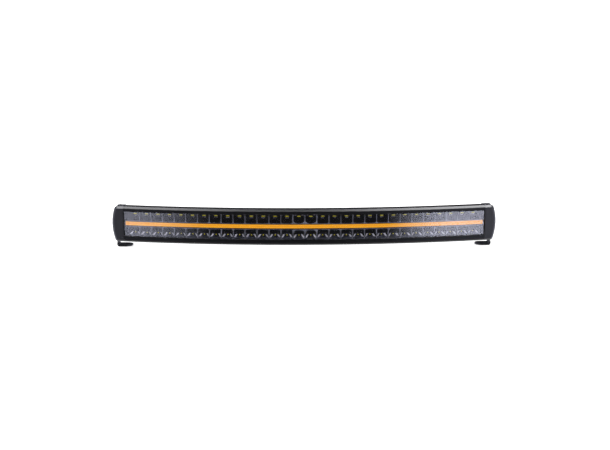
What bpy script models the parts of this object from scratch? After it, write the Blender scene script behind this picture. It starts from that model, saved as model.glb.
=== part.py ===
"""Curved double-row LED light bar on two tilting end brackets.

The bar is convex to the front and bent about a vertical axis behind it. Its long pieces are first
made straight, with X along the arc, Y as depth behind the front face and Z up from the bar's middle,
and are then bent. Metres, +Z up, the front faces -Y. The origin is at the bottom centre of the
whole object, between the two feet.
"""

from math import asin, cos, pi, radians, sin, sqrt

import bmesh
import bpy
from mathutils import Matrix, Vector

# Overall layout
MODULE_COLUMNS = (7, 7, 2, 7, 7)  # LED columns in each optic module
ROUND_MODULE = 3  # the middle module has round bowls
PITCH = 0.027  # one column, along the front arc
BEND_RADIUS = 1.95  # of the front face
FRAME_HEIGHT = 0.0795  # without what the lower rail adds
LOWER_RAIL_EXTRA = 0.002  # more face on the lower rail than on the upper one
FOOT_CLEARANCE = 0.016  # from the ground to the bar's underside
GAP = 0.0003  # between two pieces that touch

# Front frame
RAIL_FACE = 0.0071  # flat front face of a rail, from the window to the chamfer
CHAMFER_HEIGHT = 0.0044
CHAMFER_DEPTH = 0.005
LIP_THICKNESS = 0.0027
SKIRT_THICKNESS = 0.0017
SKIRT_DEPTH = 0.021
BEAD_HEIGHT = 0.0006
BEAD_WIDTH = 0.0016
END_MARGIN = 0.009  # of the window, past the outermost column

# Lens and its seal
LENS_THICKNESS = 0.003
LENS_LAP = 0.0058  # hidden behind the rail lips
LENS_END_LAP = 0.0035
SEAL_THICKNESS = 0.002
SEAL_WIDTH = 0.0034

# Heat sink
WALL_THICKNESS = 0.00415
WALL_CORNER = 0.0055  # between the wall and the base plate
LEDGE_WIDTH = 0.0032
LEDGE_THICKNESS = 0.003
SHOULDER_STEP = 0.00085  # from the frame's outside down to the shoulder
SHOULDER_DROP = 0.0024
SHOULDER_RUN = 0.004
BASE_THICKNESS = 0.005
FIN_THICKNESS = 0.0021
FIN_PITCH = 0.0057
FIN_LENGTHS = (0.011, 0.0185, 0.0245, 0.029)  # from the outermost inwards
DUCT_HALF = 0.012
DUCT_DEPTH = 0.0155
DUCT_WALL = 0.0025
DUCT_CORNER = 0.0045
REAR_FIN_OFFSET = 0.0095
REAR_FIN_RISE = 0.002  # of the rear fins past the longest fin at the sides
REAR_FIN_COVER = 0.001  # of the end caps past the rear fins

# Optics
ROW_INSET = 0.0083  # of the LED rows from the reflectors' upper and lower edges
LED_SIZE = 0.005
LED_HEIGHT = 0.0012
LED_HOLE = 0.0084
REFLECTOR_DEPTH = 0.012
REFLECTOR_WALL = 0.0012
RIB = 0.0014
BOARD_THICKNESS = 0.0016
BOARD_MARGIN = 0.0023  # of the boards inside the reflectors' edges
PAD_THICKNESS = 0.0006
FACET_COLUMNS = 2.4  # about this many columns to each flat facet of the bent pieces

# Position light
GUIDE_HEIGHT = 0.0087
GUIDE_THICKNESS = 0.004
GUIDE_RECESS = 0.0001  # behind the reflectors' front
GUIDE_GROOVE = 0.0007
GUIDE_END_LENGTH = 0.005
GUIDE_END_MARGIN = 0.0025
CARRIER_WALL = 0.001
CARRIER_WEB = 0.003
MIDDLE_PLATE = 0.0034  # thickness of the reflectors behind the guide carrier
GUIDE_BOARD_LENGTH = 0.006

# End caps
CAP_WIDTH = 0.0264  # from the window to the outermost point, along X
CAP_SIDE_RADIUS = 0.105
CAP_CORNER_RADIUS = 0.0075
CAP_SIDE_CHAMFER = 0.0058
FLANGE_DEPTH = 0.009
SINK_OVERRUN = 0.005
END_SEAL_THICKNESS = 0.0012
SIDE_INSET = 0.0115  # from the outermost point in to the pivot face
CAP_POCKET_DEPTH = 0.004
CAP_POCKET_FRONT = 0.0034  # behind the heat sink's front edge
CAP_POCKET_BACK = 0.001  # in front of the base plate
CAP_POCKET_MARGIN = 0.0025  # inside the boards' edges
CAP_SHOULDER_RUN = 0.002
CAP_SHOULDER_DROP = 0.0018
CAP_BACK_DROPS = (2.0, 3.2)  # fin pitches down from the shoulder at the two longest fins
CAP_BLANK = 0.06  # of the cap's body before the pivot face is cut, along the bar
SEAL_SHOULDER_INSET = 0.001
SEAL_BACK_DROP = 2.3  # fin pitches down from the shoulder
SEAL_BACK_INSET = 0.002
SEAL_WINDOW_FRONT = 0.0049  # behind the heat sink's front edge
SEAL_WINDOW_MARGIN = 0.0013  # inside the reflectors' edges
SEAL_LAP = 0.0015  # of the end seal round its two windows
SEAL_DUCT_LAP = 0.0025
SCREW_RADIUS = 0.0015
SCREW_HEAD_RADIUS = 0.0028
SCREW_HEAD_HEIGHT = 0.0022
SCREW_SINK = 0.0045
SCREW_REACH = 0.012
SCREW_UPPER_INSET = (0.0037, 0.0047)  # from the base plate's back and from the shoulder
SCREW_LOWER_INSET = (0.0008, 0.0001)  # from the duct's rear corner
SCREW_HOLE_MARGIN = 0.003  # of the screw holes past the screws' tips
SCREW_SOCKET_RADIUS = 0.00145
SCREW_SOCKET_FLOOR = 0.001

# Brackets and pivots
PIVOT_DEPTH = 0.034
STRAP = 0.0035
ARM_WIDTH = 0.018
ARM_EYE_RADIUS = 0.0125
STRAP_BEND = 0.0055  # outer radius
KNEE_HEIGHT = 0.004  # of the foot's full width above the strap's bend
FOOT_LENGTH = 0.035
FOOT_WIDTH = 0.030
SLOT_WIDTH = 0.0085
SLOT_LENGTH = 0.0145
BOLT_RADIUS = 0.004
BOLT_REACH = 0.011
BOLT_HEAD_RADIUS = 0.0066
BOLT_HEAD_HEIGHT = 0.0034
SOCKET_FLATS = 0.005
SOCKET_DEPTH = 0.0022
WASHER_RADIUS = 0.008
WASHER_THICKNESS = 0.0012
SPRING_WASHER_SPLIT = 0.0009
SPRING_WASHER_RADIUS = 0.0068
SPRING_WASHER_THICKNESS = 0.0014

# Cable gland, vent and driver
GLAND_BORE = 0.0072
GLAND_SHANK_RADIUS = 0.008
GLAND_FLATS = 0.022
GLAND_FLANGE = 0.0045
GLAND_NOSE_LENGTH = 0.009
GLAND_NOSE_RADIUS = 0.0078
GLAND_NUT_LENGTH = 0.015
GLAND_NUT_WALL = 0.0021
GLAND_LIP = 0.0028
GLAND_CLEARANCE = 0.0008  # round the cable, on each side
GLAND_NOSE_WALL = 0.0015
GLAND_SEAL_SEAT = 0.0015  # from the flange to the seal ring
GLAND_SEAL_RISE = 0.001
GLAND_NUT_START = 0.0006  # from the flange to the nut
GLAND_TAIL = 0.0025  # of the gland and the vent inside the duct
VENT_COLUMN = 3  # columns from the middle
VENT_RADIUS = 0.006
VENT_STEM_RADIUS = 0.0035
VENT_HEIGHT = 0.004
SEAT_MARGIN = 0.004  # of the flat milled round the gland and the vent
DRIVER_COLUMN = -3
DRIVER_LENGTH = 0.09
DRIVER_HEIGHT = 0.021
DRIVER_PAD = 0.002
DRIVER_RISE = 0.001  # of the pad above the base plate
DRIVER_PAD_INSETS = (0.010, 0.003)  # along and across, inside the board's edges
DRIVER_PARTS = (  # offset along, half length, half height, rise
    (-0.034, 0.006, 0.0075, 0.008),
    (-0.015, 0.007, 0.006, 0.006),
    (0.004, 0.005, 0.005, 0.009),
    (0.020, 0.0045, 0.0075, 0.0025),
    (0.036, 0.0045, 0.006, 0.007),
)

# Sizes that follow
FRAME_HALF = FRAME_HEIGHT / 2
OPENING_HALF = FRAME_HALF - CHAMFER_HEIGHT - RAIL_FACE
COLUMNS = sum(MODULE_COLUMNS)
WINDOW_HALF_ARC = COLUMNS / 2 * PITCH + END_MARGIN
LENS_FRONT = LIP_THICKNESS + GAP
LENS_BACK = LENS_FRONT + LENS_THICKNESS
SEAL_FRONT = LENS_BACK + GAP
SINK_FRONT = SEAL_FRONT + SEAL_THICKNESS + GAP
SKIRT_INSIDE = FRAME_HALF - SKIRT_THICKNESS
LENS_HALF = OPENING_HALF + LENS_LAP
SHOULDER_HALF = FRAME_HALF - SHOULDER_STEP
WALL_INSIDE = SKIRT_INSIDE - GAP - WALL_THICKNESS
REFLECTOR_FRONT = SINK_FRONT + GAP
REFLECTOR_BACK = REFLECTOR_FRONT + REFLECTOR_DEPTH
REFLECTOR_HALF = WALL_INSIDE - LEDGE_WIDTH - 2 * GAP
ROW_OFFSET = REFLECTOR_HALF - ROW_INSET  # of the LED rows, above and below the bar's middle
BOARD_HALF = REFLECTOR_HALF - BOARD_MARGIN
GUIDE_FRONT = REFLECTOR_FRONT + GUIDE_RECESS
GUIDE_SEAT = REFLECTOR_BACK - MIDDLE_PLATE
BOARD_FRONT = REFLECTOR_BACK + GAP
PAD_FRONT = BOARD_FRONT + BOARD_THICKNESS + GAP
BASE_FRONT = PAD_FRONT + PAD_THICKNESS + GAP
BASE_BACK = BASE_FRONT + BASE_THICKNESS
DUCT_BACK = BASE_BACK + DUCT_DEPTH
DUCT_OUTSIDE = DUCT_BACK + DUCT_WALL
FIN_TIPS = [BASE_BACK + length for length in FIN_LENGTHS]
REAR_FIN_TIP = FIN_TIPS[-1] + REAR_FIN_RISE
BODY_DEPTH = REAR_FIN_TIP + REAR_FIN_COVER
SINK_END = WINDOW_HALF_ARC + SINK_OVERRUN
END_ANGLE = WINDOW_HALF_ARC / BEND_RADIUS
END_X = BEND_RADIUS * sin(END_ANGLE)
CAP_INSIDE = SINK_OVERRUN + 2 * GAP + END_SEAL_THICKNESS
OUTER_X = END_X + CAP_WIDTH
SIDE_X = OUTER_X - SIDE_INSET
CAP_REAR_REACH = (SIDE_X - END_X + BODY_DEPTH * sin(END_ANGLE)) / cos(END_ANGLE)
OVERALL_DEPTH = (
    BEND_RADIUS * (1 - cos(END_ANGLE)) + BODY_DEPTH * cos(END_ANGLE) + CAP_REAR_REACH * sin(END_ANGLE)
)
FRONT_Y = -OVERALL_DEPTH / 2
CENTRE_Y = FRONT_Y + BEND_RADIUS
MIDDLE_Z = FOOT_CLEARANCE + LOWER_RAIL_EXTRA + FRAME_HALF  # of the window
END_Y = CENTRE_Y - BEND_RADIUS * cos(END_ANGLE)
PIVOT_Y = END_Y + (SIDE_X - END_X) * sin(END_ANGLE) / cos(END_ANGLE) + PIVOT_DEPTH
STRAP_INSIDE_X = SIDE_X + GAP
STRAP_OUTSIDE_X = STRAP_INSIDE_X + STRAP


# Helpers


def material(name, colour, roughness, metallic=0.0, alpha=1.0):
    made = bpy.data.materials.new(name)
    made.use_nodes = True
    shader = made.node_tree.nodes["Principled BSDF"]
    shader.inputs["Base Color"].default_value = (*colour, 1.0)
    shader.inputs["Roughness"].default_value = roughness
    shader.inputs["Metallic"].default_value = metallic
    shader.inputs["Alpha"].default_value = alpha
    return made


def add_object(name, bm, look, smooth=None):
    """Makes the finished object of a bmesh. smooth is the angle below which edges are shaded smooth."""
    bmesh.ops.recalc_face_normals(bm, faces=bm.faces)
    mesh = bpy.data.meshes.new(name)
    bm.to_mesh(mesh)
    bm.free()
    mesh.materials.append(look)
    if smooth:
        mesh.shade_smooth()
        mesh.set_sharp_from_angle(angle=radians(smooth))
    made = bpy.data.objects.new(name, mesh)
    bpy.context.scene.collection.objects.link(made)
    return made


def set_origin(made, point):
    """Moves an object's origin to a point without moving its surface."""
    made.data.transform(Matrix.Translation(-Vector(point)))
    made.location = point


def prism(outline, start, end, axis="X"):
    """A bmesh of an outline swept along an axis: (depth, height) along X, (x, depth) along Z."""
    bm = bmesh.new()
    if axis == "X":
        ring = [bm.verts.new((start, a, b)) for a, b in outline]
        shift = Vector((end - start, 0, 0))
    elif axis == "Y":
        ring = [bm.verts.new((a, start, b)) for a, b in outline]
        shift = Vector((0, end - start, 0))
    else:
        ring = [bm.verts.new((a, b, start)) for a, b in outline]
        shift = Vector((0, 0, end - start))
    face = bm.faces.new(ring)
    swept = bmesh.ops.extrude_face_region(bm, geom=[face])
    moved = [v for v in swept["geom"] if isinstance(v, bmesh.types.BMVert)]
    bmesh.ops.translate(bm, vec=shift, verts=moved)
    bmesh.ops.recalc_face_normals(bm, faces=bm.faces)
    return bm


def box(low, high):
    """A bmesh of a box between two corners."""
    return prism([(low[1], low[2]), (high[1], low[2]), (high[1], high[2]), (low[1], high[2])], low[0], high[0])


def circle(radius, sides, centre=(0.0, 0.0), turn=0.0):
    """The corners of a regular polygon round a centre."""
    angles = [2 * pi * i / sides + turn for i in range(sides)]
    return [(centre[0] + radius * cos(a), centre[1] + radius * sin(a)) for a in angles]


def loft(rings):
    """A closed bmesh through rings that have the same number of points."""
    bm = bmesh.new()
    made = [[bm.verts.new(p) for p in ring] for ring in rings]
    count = len(made[0])
    for a, b in zip(made, made[1:]):
        for i in range(count):
            j = (i + 1) % count
            bm.faces.new((a[i], a[j], b[j], b[i]))
    bm.faces.new(made[0])
    bm.faces.new(made[-1])
    bmesh.ops.recalc_face_normals(bm, faces=bm.faces)
    return bm


def turned(profile, sides):
    """A closed bmesh turned about Y from (radius, y) points. A ring stays open where no radius is 0."""
    bm = bmesh.new()
    ring = [bm.verts.new((r, y, 0)) for r, y in profile]
    edges = [bm.edges.new((a, b)) for a, b in zip(ring, ring[1:] + ring[:1])]
    bmesh.ops.spin(
        bm, geom=ring + edges, cent=(0, 0, 0), axis=(0, 1, 0), angle=2 * pi, steps=sides, use_merge=True
    )
    bmesh.ops.remove_doubles(bm, verts=bm.verts, dist=1e-6)
    bmesh.ops.dissolve_degenerate(bm, edges=bm.edges, dist=1e-7)
    bmesh.ops.recalc_face_normals(bm, faces=bm.faces)
    return bm


def boolean(base, others, operation):
    """Joins or cuts a bmesh with a list of others and returns the result as a new bmesh."""
    parts = []
    for bm in [base, *others]:
        mesh = bpy.data.meshes.new("step")
        bm.to_mesh(mesh)
        bm.free()
        parts.append(bpy.data.objects.new("step", mesh))
        bpy.context.scene.collection.objects.link(parts[-1])
    for other in parts[1:]:
        step = parts[0].modifiers.new("step", "BOOLEAN")
        step.operation = operation
        step.solver = "EXACT"
        step.object = other
    bpy.context.view_layer.update()
    result = bpy.data.meshes.new_from_object(parts[0].evaluated_get(bpy.context.evaluated_depsgraph_get()))
    made = bmesh.new()
    made.from_mesh(result)
    for part in parts:
        bpy.data.objects.remove(part)
    return made


def cut(base, *cutters):
    return boolean(base, cutters, "DIFFERENCE")


def join(base, *others):
    return boolean(base, others, "UNION")


def arc_point(along, depth, height):
    """The place in the object of a point on the straight pattern of the bar."""
    angle = along / BEND_RADIUS
    radius = BEND_RADIUS - depth
    return Vector((radius * sin(angle), CENTRE_Y - radius * cos(angle), MIDDLE_Z + height))


def module_spans():
    """Start and end of each optic module, counted in columns from the middle."""
    edge = -COLUMNS / 2
    spans = []
    for count in MODULE_COLUMNS:
        spans.append((edge, edge + count))
        edge += count
    return spans


def facet_edges():
    """Where the bent pieces turn, along the arc: the middle, and whole facets in each optic module."""
    edges = {0.0, module_spans()[0][0] * PITCH}
    for first, last in module_spans():
        facets = max(1, round((last - first) / FACET_COLUMNS))
        edges |= {(first + (last - first) * (i + 1) / facets) * PITCH for i in range(facets)}
    return sorted(edges)


def bend(bm):
    """Bends a straight piece to the bar's arc, in the same flat facets for every piece."""
    low = min(v.co.x for v in bm.verts)
    high = max(v.co.x for v in bm.verts)
    for edge in facet_edges():
        if low + 1e-6 < edge < high - 1e-6:
            everything = [*bm.verts, *bm.edges, *bm.faces]
            bmesh.ops.bisect_plane(bm, geom=everything, dist=1e-7, plane_co=(edge, 0, 0), plane_no=(1, 0, 0))
    for v in bm.verts:
        v.co = arc_point(*v.co)
    return bm


def local_frame(along):
    """The matrix from a straight piece to its place, flat against the bar at one point of the arc."""
    turn = Matrix.Rotation(along / BEND_RADIUS, 4, "Z")
    return Matrix.Translation(arc_point(along, 0, 0)) @ turn


def place(bm, matrix):
    bmesh.ops.transform(bm, matrix=matrix, verts=bm.verts)
    return bm


def mirrored(bm):
    """A copy of a right-hand piece for the left end."""
    other = bm.copy()
    bmesh.ops.transform(other, matrix=Matrix.Scale(-1, 4, (1, 0, 0)), verts=other.verts)
    bmesh.ops.reverse_faces(other, faces=other.faces)
    return other


def add_pair(name, bm, look, smooth=None):
    """Adds a right-hand piece and its mirror image at the left end."""
    left = mirrored(bm)
    return [
        add_object(name + "_left", left, look, smooth),
        add_object(name + "_right", bm, look, smooth),
    ]


# Looks


def make_looks():
    return {
        "housing": material("black_anodised_aluminium", (0.020, 0.020, 0.022), 0.45, 0.8),
        "frame": material("black_powder_coat", (0.012, 0.012, 0.013), 0.50),
        "cap": material("black_cast_cap", (0.030, 0.030, 0.033), 0.55),
        "lens": material("clear_polycarbonate", (0.80, 0.84, 0.88), 0.05, 0.0, 0.3),
        "rubber": material("black_silicone_rubber", (0.015, 0.015, 0.015), 0.85),
        "reflector": material("dark_chrome_reflector", (0.055, 0.055, 0.062), 0.15, 1.0),
        "board": material("black_circuit_board", (0.020, 0.022, 0.025), 0.60),
        "pad": material("grey_gap_pad", (0.45, 0.47, 0.50), 0.80),
        "guide": material("amber_light_guide", (0.93, 0.42, 0.04), 0.25),
        "carrier": material("black_moulded_nylon", (0.010, 0.010, 0.011), 0.65),
        "gland": material("black_gland_nylon", (0.013, 0.013, 0.014), 0.55),
        "steel": material("black_zinc_steel", (0.050, 0.050, 0.052), 0.40, 0.9),
    }


# The extruded housing


def sink_outline():
    """The heat sink's section, upper half from the front edge to the rear, then its mirror image."""
    groove_start = SKIRT_DEPTH - BEAD_WIDTH - GAP
    groove_end = SKIRT_DEPTH + GAP
    wall_outside = SKIRT_INSIDE - GAP
    outer_fin = SHOULDER_HALF - SHOULDER_DROP
    upper = [
        (BASE_FRONT, WALL_INSIDE - WALL_CORNER),
        (BASE_FRONT - WALL_CORNER, WALL_INSIDE),
        (SINK_FRONT + LEDGE_THICKNESS, WALL_INSIDE),
        (SINK_FRONT + LEDGE_THICKNESS, WALL_INSIDE - LEDGE_WIDTH),
        (SINK_FRONT, WALL_INSIDE - LEDGE_WIDTH),
        (SINK_FRONT, wall_outside),
        (groove_start, wall_outside),
        (groove_start, wall_outside - BEAD_HEIGHT - GAP),
        (groove_end, wall_outside - BEAD_HEIGHT - GAP),
        (groove_end, SHOULDER_HALF),
        (BASE_BACK - SHOULDER_RUN, SHOULDER_HALF),
        (BASE_BACK, outer_fin),
    ]
    for i, tip in enumerate(FIN_TIPS):
        top = outer_fin - i * FIN_PITCH
        if i:
            upper.append((BASE_BACK, top))
        upper += [(tip, top), (tip, top - FIN_THICKNESS), (BASE_BACK, top - FIN_THICKNESS)]
    side = DUCT_HALF + DUCT_WALL
    rear_fin = REAR_FIN_OFFSET + FIN_THICKNESS / 2
    upper += [
        (BASE_BACK, side),
        (DUCT_OUTSIDE, side),
        (DUCT_OUTSIDE, rear_fin),
        (REAR_FIN_TIP, rear_fin),
        (REAR_FIN_TIP, rear_fin - FIN_THICKNESS),
        (DUCT_OUTSIDE, rear_fin - FIN_THICKNESS),
        (DUCT_OUTSIDE, FIN_THICKNESS / 2),
        (REAR_FIN_TIP, FIN_THICKNESS / 2),
    ]
    return upper + [(d, -z) for d, z in reversed(upper)]


def duct_outline():
    """The open duct behind the base plate. Its rear corners stay solid for the screws."""
    upper = [(BASE_BACK, DUCT_HALF), (DUCT_BACK - DUCT_CORNER, DUCT_HALF), (DUCT_BACK, DUCT_HALF - DUCT_CORNER)]
    return upper + [(d, -z) for d, z in reversed(upper)]


def screw_places():
    """Depth and height of the four screws in each end."""
    upper = (BASE_BACK - SCREW_UPPER_INSET[0], SHOULDER_HALF - SCREW_UPPER_INSET[1])
    lower = (DUCT_BACK - SCREW_LOWER_INSET[0], DUCT_HALF - SCREW_LOWER_INSET[1])
    return [(d, sign * z) for d, z in (upper, lower) for sign in (1, -1)]


def make_heat_sink(looks):
    """One bent extrusion: a front channel, a base plate with fins behind it, and a wiring duct."""
    bm = prism(sink_outline(), -SINK_END, SINK_END)
    cutters = [prism(duct_outline(), -SINK_END - 0.01, SINK_END + 0.01)]
    hole = SCREW_RADIUS + GAP
    depth = SCREW_REACH + SCREW_HOLE_MARGIN
    for place_ in screw_places():
        for side in (1, -1):
            inner = side * (SINK_END - depth)
            cutters.append(prism(circle(hole, 8, place_), inner, side * (SINK_END + 0.01)))
    seat = GLAND_FLATS / sqrt(3) + SEAT_MARGIN
    cutters.append(box((-seat, DUCT_OUTSIDE, -seat), (seat, BODY_DEPTH + 0.01, seat)))
    cutters.append(
        prism(circle(GLAND_SHANK_RADIUS + GAP, 20), DUCT_BACK - 0.001, DUCT_OUTSIDE + 0.001, "Y")
    )
    vent = VENT_COLUMN * PITCH
    seat = VENT_RADIUS + SEAT_MARGIN
    cutters.append(box((vent - seat, DUCT_OUTSIDE, -seat), (vent + seat, BODY_DEPTH + 0.01, seat)))
    cutters.append(
        prism(circle(VENT_STEM_RADIUS + GAP, 12, (vent, 0)), DUCT_BACK - 0.001, DUCT_OUTSIDE + 0.001, "Y")
    )
    add_object("heat_sink", bend(cut(bm, *cutters)), looks["housing"])


# Front frame and lens


def rail_outline(extra):
    """The section of a frame rail: lip, chamfer, skirt over the housing wall and snap bead."""
    outside = FRAME_HALF + extra
    return [
        (0, OPENING_HALF),
        (0, outside - CHAMFER_HEIGHT),
        (CHAMFER_DEPTH, outside),
        (SKIRT_DEPTH, outside),
        (SKIRT_DEPTH, SKIRT_INSIDE - BEAD_HEIGHT),
        (SKIRT_DEPTH - BEAD_WIDTH, SKIRT_INSIDE - BEAD_HEIGHT),
        (SKIRT_DEPTH - BEAD_WIDTH, SKIRT_INSIDE),
        (SINK_FRONT - GAP, SKIRT_INSIDE),
        (SINK_FRONT - GAP, LENS_HALF + GAP),
        (LIP_THICKNESS, LENS_HALF + GAP),
        (LIP_THICKNESS, OPENING_HALF),
    ]


def make_rails(looks):
    """The two frame rails that hold the lens, above and below the window."""
    end = WINDOW_HALF_ARC - GAP
    for name, sign, extra in (("frame_rail_top", 1, 0.0), ("frame_rail_bottom", -1, LOWER_RAIL_EXTRA)):
        outline = [(d, sign * z) for d, z in rail_outline(extra)]
        add_object(name, bend(prism(outline, -end, end)), looks["frame"])


def make_lens(looks):
    end = WINDOW_HALF_ARC + LENS_END_LAP
    bm = box((-end, LENS_FRONT, -LENS_HALF), (end, LENS_BACK, LENS_HALF))
    add_object("lens", bend(bm), looks["lens"])


def make_lens_seal(looks):
    """The rubber seal, one flat loop between the lens and the front edge of the channel."""
    end = WINDOW_HALF_ARC + LENS_END_LAP
    back = SEAL_FRONT + SEAL_THICKNESS
    bm = box((-end, SEAL_FRONT, -LENS_HALF), (end, back, LENS_HALF))
    inner = LENS_HALF - SEAL_WIDTH
    side = end - SEAL_WIDTH
    bm = cut(bm, box((-side, SEAL_FRONT - 0.001, -inner), (side, back + 0.001, inner)))
    add_object("lens_seal", bend(bm), looks["rubber"])


# Optics


def bowl(centre, sign, is_round):
    """The cutter of one bowl, which narrows from the cell's mouth to the hole for the LED."""
    low = GUIDE_HEIGHT / 2 + 2 * GAP + CARRIER_WALL + REFLECTOR_WALL
    high = REFLECTOR_HALF - REFLECTOR_WALL
    half = PITCH / 2 - RIB / 2
    hole = LED_HOLE / 2
    rings = []
    for depth, open_share in ((-0.1, 1.0), (0.0, 1.0), (0.45, 0.74), (0.8, 0.42), (1.0, 0.0), (1.1, 0.0)):
        width = hole + (half - hole) * open_share
        bottom = (ROW_OFFSET - hole) * (1 - open_share) + low * open_share
        top = (ROW_OFFSET + hole) * (1 - open_share) + high * open_share
        y = REFLECTOR_FRONT + depth * (REFLECTOR_BACK - REFLECTOR_FRONT)
        middle = (bottom + top) / 2
        tall = (top - bottom) / 2
        if is_round:
            corners = circle(1.0, 10, turn=pi / 10)
        else:
            corners = [(-1, -1), (1, -1), (1, 1), (-1, 1)]
        rings.append([(centre + width * a, y, sign * (middle + tall * b)) for a, b in corners])
    return loft(rings)


def make_reflectors(looks):
    """Five moulded reflector trays, each with an upper and a lower row of bowls."""
    channel = GUIDE_HEIGHT / 2 + 2 * GAP + CARRIER_WALL
    for number, (first, last) in enumerate(module_spans(), 1):
        start = first * PITCH + GAP / 2
        end = last * PITCH - GAP / 2
        bm = box((start, REFLECTOR_FRONT, -REFLECTOR_HALF), (end, REFLECTOR_BACK, REFLECTOR_HALF))
        cutters = [box((start - 0.01, 0, -channel), (end + 0.01, GUIDE_SEAT, channel))]
        for i in range(round(last - first)):
            centre = (first + i + 0.5) * PITCH
            for sign in (1, -1):
                cutters.append(bowl(centre, sign, number == ROUND_MODULE))
        add_object(f"reflector_{number}", bend(cut(bm, *cutters)), looks["reflector"])


def make_led_boards(looks):
    """Five metal-core boards on the base plate, each with its LED packages standing proud."""
    half = LED_SIZE / 2
    for number, (first, last) in enumerate(module_spans(), 1):
        start = first * PITCH + GAP / 2
        end = last * PITCH - GAP / 2
        back = BOARD_FRONT + BOARD_THICKNESS
        bm = box((start, BOARD_FRONT, -BOARD_HALF), (end, back, BOARD_HALF))
        leds = []
        for i in range(round(last - first)):
            x = (first + i + 0.5) * PITCH
            for z in (ROW_OFFSET, -ROW_OFFSET):
                low = (x - half, BOARD_FRONT - LED_HEIGHT, z - half)
                leds.append(box(low, (x + half, BOARD_FRONT + 0.0005, z + half)))
        add_object(f"led_board_{number}", bend(join(bm, *leds)), looks["board"])


def make_thermal_pad(looks):
    end = COLUMNS / 2 * PITCH
    bm = box((-end, PAD_FRONT, -BOARD_HALF), (end, PAD_FRONT + PAD_THICKNESS, BOARD_HALF))
    add_object("thermal_pad", bend(bm), looks["pad"])


# Position light


def make_light_guide(looks):
    """The amber strip between the LED rows, with a shallow groove along it and a block at each end."""
    half = GUIDE_HEIGHT / 2
    back = GUIDE_FRONT + GUIDE_THICKNESS
    outer = WINDOW_HALF_ARC - GUIDE_END_MARGIN
    inner = outer - GUIDE_END_LENGTH
    outline = [
        (GUIDE_FRONT, GUIDE_GROOVE),
        (GUIDE_FRONT, half),
        (back, half),
        (back, -half),
        (GUIDE_FRONT, -half),
        (GUIDE_FRONT, -GUIDE_GROOVE),
        (GUIDE_FRONT + GUIDE_GROOVE, 0),
    ]
    add_object("light_guide", bend(prism(outline, GAP - inner, inner - GAP)), looks["guide"])
    bm = box((inner, GUIDE_FRONT, -half), (outer, back, half))
    bmesh.ops.bevel(
        bm,
        geom=[e for e in bm.edges if all(abs(v.co.x - outer) < 1e-6 for v in e.verts)],
        offset=0.0012,
        segments=2,
        profile=0.5,
        affect="EDGES",
        material=-1,
    )
    add_pair("light_guide_end", bend(bm), looks["guide"])


def make_guide_carrier(looks):
    """The black channel that holds the light guide and stands on the reflectors' middle plate."""
    inner = GUIDE_HEIGHT / 2 + GAP
    outer = inner + CARRIER_WALL
    floor = GUIDE_FRONT + GUIDE_THICKNESS + GAP
    web = CARRIER_WEB / 2
    seat = GUIDE_SEAT - GAP
    upper = [
        (floor, inner),
        (GUIDE_FRONT, inner),
        (GUIDE_FRONT, outer),
        (floor + CARRIER_WALL, outer),
        (floor + CARRIER_WALL, web),
        (seat, web),
    ]
    outline = upper + [(d, -z) for d, z in reversed(upper)]
    end = COLUMNS / 2 * PITCH - GAP
    add_object("guide_carrier", bend(prism(outline, -end, end)), looks["carrier"])


def make_guide_boards(looks):
    """A small board with an amber LED beside each end of the light guide, behind its end block."""
    start = COLUMNS / 2 * PITCH
    half = GUIDE_HEIGHT / 2
    front = GUIDE_FRONT + GUIDE_THICKNESS + GAP + LED_HEIGHT
    bm = box((start, front, -half), (start + GUIDE_BOARD_LENGTH, front + BOARD_THICKNESS, half))
    middle = start + GUIDE_BOARD_LENGTH / 2 - 0.001
    led = box((middle - 0.001, front - LED_HEIGHT, -0.0014), (middle + 0.001, front + 0.0005, 0.0014))
    add_pair("guide_board", bend(join(bm, led)), looks["board"])


# End caps


def cap_outline(inset, side_inset):
    """The front outline of the right end cap: straight top and bottom, rounded corners, bulged side.

    inset draws in the top and bottom, side_inset the side. X is measured along the face, from the window.
    """
    reach = (CAP_WIDTH + CHAMFER_DEPTH * sin(END_ANGLE)) / cos(END_ANGLE) - side_inset
    half = FRAME_HALF - inset
    corner = CAP_CORNER_RADIUS - inset
    arc = CAP_SIDE_RADIUS - side_inset
    centre_x = reach - arc
    corner_z = half - corner
    tilt = asin(corner_z / (arc - corner))
    corner_x = centre_x + (arc - corner) * cos(tilt)
    upper = [(0.0, half)]
    for i in range(5):
        angle = pi / 2 + (tilt - pi / 2) * i / 4
        upper.append((corner_x + corner * cos(angle), corner_z + corner * sin(angle)))
    for i in range(1, 4):
        angle = tilt * (1 - i / 4)
        upper.append((centre_x + arc * cos(angle), arc * sin(angle)))
    stretch = (half + LOWER_RAIL_EXTRA) / half
    return upper + [(reach, 0.0)] + [(x, -z * stretch) for x, z in reversed(upper)]


def cap_body_outline():
    """The end cap's section behind its flange, as depth and height. It covers the ends of the fins."""
    upper = [
        (FLANGE_DEPTH - 0.001, FRAME_HALF),
        (SKIRT_DEPTH + CAP_SHOULDER_RUN, FRAME_HALF),
        (FIN_TIPS[0] + CAP_SHOULDER_RUN, SHOULDER_HALF - CAP_SHOULDER_DROP),
        (FIN_TIPS[2] + REAR_FIN_COVER, SHOULDER_HALF - CAP_BACK_DROPS[0] * FIN_PITCH),
        (FIN_TIPS[3] + REAR_FIN_COVER, SHOULDER_HALF - CAP_BACK_DROPS[1] * FIN_PITCH),
        (BODY_DEPTH, REAR_FIN_OFFSET + FIN_THICKNESS),
    ]
    lower = [(d, z + LOWER_RAIL_EXTRA * (z == FRAME_HALF)) for d, z in upper]
    return upper + [(d, -z) for d, z in reversed(lower)]


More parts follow.
